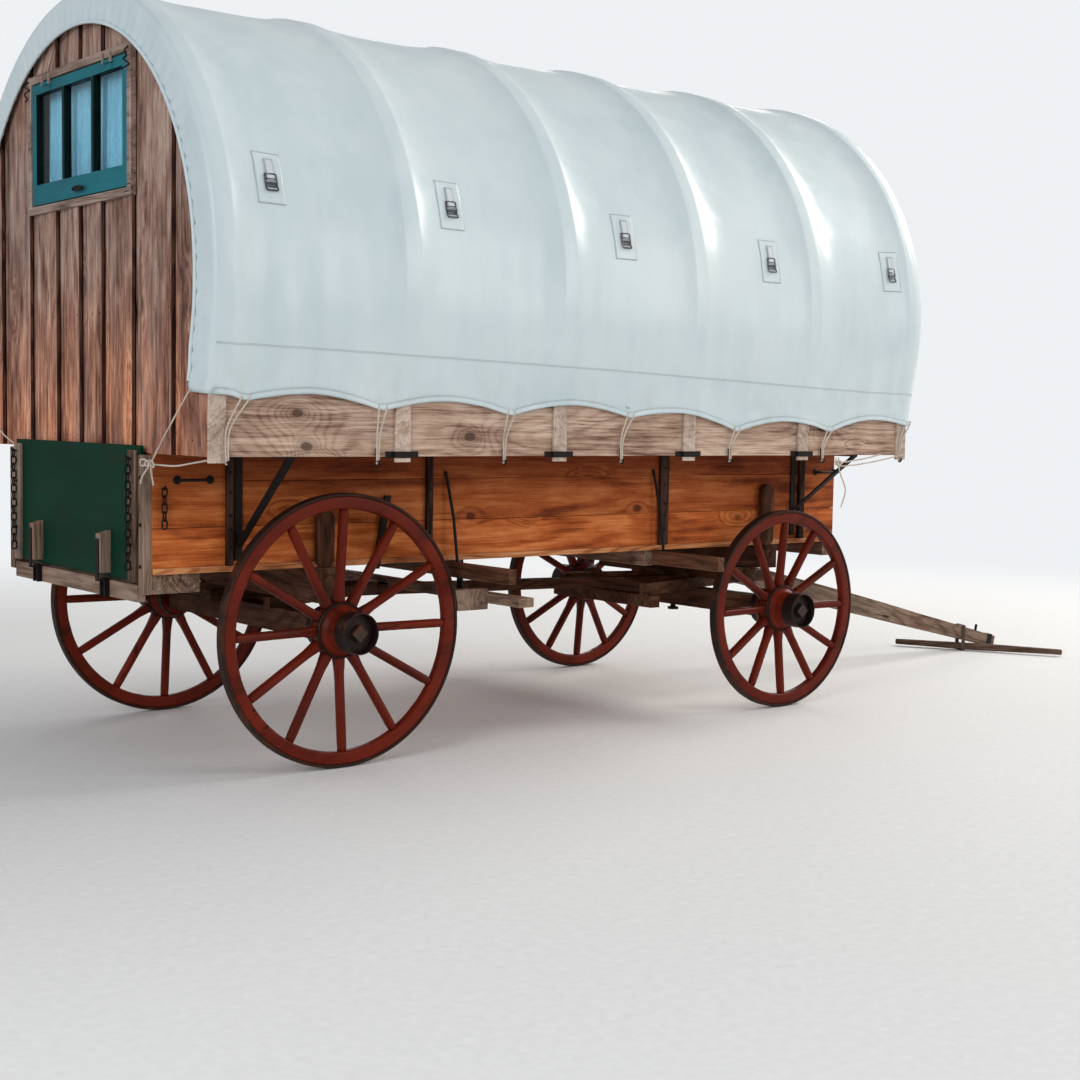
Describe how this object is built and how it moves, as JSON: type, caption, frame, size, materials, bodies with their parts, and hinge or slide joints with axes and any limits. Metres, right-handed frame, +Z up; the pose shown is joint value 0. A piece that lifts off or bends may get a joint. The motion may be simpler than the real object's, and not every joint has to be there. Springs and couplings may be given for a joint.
{
  "type": "covered wagon",
  "caption": "Covered wagon with a plank box, benches over the wheels, canvas on bent hoops, boarded end walls, window, tailgate, turning front axle and tongue.",
  "frame": {"origin": "on the ground under the middle of the wagon's bounding box, tongue included", "axes": "+X forward along the tongue, +Y to the wagon's left, +Z up"},
  "size_m": [6.2854, 2.3864, 3.1183],
  "materials": {
    "red_wood": "worn red paint over wood",
    "tyre_iron": "dark forged iron, worn on the tread",
    "hub_iron": "dark iron",
    "gear_wood": "red-brown weathered wood",
    "weathered_wood": "bare grey-brown weathered wood",
    "black_iron": "black iron",
    "box_wood": "varnished orange-brown boards",
    "dark_wood": "dark brown wood",
    "pale_strip": "pale oiled strip",
    "rail_wood": "pale weathered pine",
    "canvas": "off-white coated canvas",
    "wall_wood": "reddish-brown weathered boards",
    "teal_paint": "teal paint on wood",
    "window_glass": "clear window glass",
    "green_paint": "dark green paint on wood",
    "strap_leather": "brown strap leather"
  },
  "bodies": {
    "wagon": {"rear_axle": "gear_wood", "rear_bolster": "gear_wood", "front_bolster": "gear_wood", "bolster_stakes": "weathered_wood", "reach": "gear_wood", "rear_hounds": "gear_wood", "kingpin": "black_iron", "brake_beam": "weathered_wood", "brake_irons": "black_iron", "box_floor": "box_wood", "box_sides": "box_wood", "box_front_boards": "box_wood", "sill_strips": "pale_strip", "box_ribs": "dark_wood", "cross_sills": "weathered_wood", "outriggers": "gear_wood", "brace_rods": "black_iron", "bench_brackets": "black_iron", "bench_decks": "rail_wood", "side_rails": "rail_wood", "hoops": "rail_wood", "hoop_staples": "black_iron", "cover": "canvas", "rear_wall": "wall_wood", "rear_battens": "wall_wood", "window_casing": "teal_paint", "front_wall": "wall_wood", "front_battens": "wall_wood", "corner_posts": "dark_wood", "hinge_pins": "black_iron", "side_chain": "black_iron"},
    "front_gear": {"front_axle": "gear_wood", "sand_board": "gear_wood", "front_hounds": "gear_wood", "tongue_pin": "black_iron"},
    "tongue_pole": {"tongue": "weathered_wood", "tongue_irons": "black_iron", "neck_yoke": "weathered_wood", "yoke_strap": "strap_leather"},
    "window": {"window_sash": "teal_paint", "window_glass": "window_glass"},
    "lower_door": {"door_lower": "green_paint"},
    "upper_door": {"door_upper": "green_paint"},
    "rear_gate": {"tailgate": "green_paint", "tailgate_cleats": "weathered_wood", "tailgate_hinges": "black_iron", "tailgate_chains": "black_iron"},
    "rear_left_wheel_body": {"rear_left_wheel": "red_wood", "rear_left_tyre": "tyre_iron", "rear_left_hub_bands": "hub_iron"},
    "rear_right_wheel_body": {"rear_right_wheel": "red_wood", "rear_right_tyre": "tyre_iron", "rear_right_hub_bands": "hub_iron"},
    "front_left_wheel_body": {"front_left_wheel": "red_wood", "front_left_tyre": "tyre_iron", "front_left_hub_bands": "hub_iron"},
    "front_right_wheel_body": {"front_right_wheel": "red_wood", "front_right_tyre": "tyre_iron", "front_right_hub_bands": "hub_iron"}
  },
  "joints": [
    {"name": "rear_left_wheel_turn", "type": "hinge", "parent": "wagon", "child": "rear_left_wheel_body", "pos_m": [-2.29762, 0.8005, 0.559], "axis": [0, 1, 0], "continuous": true},
    {"name": "rear_right_wheel_turn", "type": "hinge", "parent": "wagon", "child": "rear_right_wheel_body", "pos_m": [-2.29762, -0.8005, 0.559], "axis": [0, 1, 0], "continuous": true},
    {"name": "front_left_wheel_turn", "type": "hinge", "parent": "front_gear", "child": "front_left_wheel_body", "pos_m": [0.29838, 0.8005, 0.495], "axis": [0, 1, 0], "continuous": true},
    {"name": "front_right_wheel_turn", "type": "hinge", "parent": "front_gear", "child": "front_right_wheel_body", "pos_m": [0.29838, -0.8005, 0.495], "axis": [0, 1, 0], "continuous": true},
    {"name": "steering", "type": "hinge", "parent": "wagon", "child": "front_gear", "pos_m": [0.29838, 0, 0.6], "axis": [0, 0, 1], "range_deg": [-12, 12]},
    {"name": "tongue_lift", "type": "hinge", "parent": "front_gear", "child": "tongue_pole", "pos_m": [0.82238, 0, 0.575], "axis": [0, -1, 0], "range_deg": [0, 28]},
    {"name": "window_swing", "type": "hinge", "parent": "wagon", "child": "window", "pos_m": [-3.08062, 0, 2.79], "axis": [0, 1, 0], "range_deg": [0, 60]},
    {"name": "lower_door_swing", "type": "hinge", "parent": "wagon", "child": "lower_door", "pos_m": [0.83638, 0.334, 1.27], "axis": [0, 0, 1], "range_deg": [0, 165]},
    {"name": "upper_door_swing", "type": "hinge", "parent": "wagon", "child": "upper_door", "pos_m": [0.83638, 0.334, 2.15], "axis": [0, 0, 1], "range_deg": [0, 165]},
    {"name": "tailgate_drop", "type": "hinge", "parent": "wagon", "child": "rear_gate", "pos_m": [-3.11362, 0, 0.766], "axis": [0, -1, 0], "range_deg": [0, 100]}
  ]
}
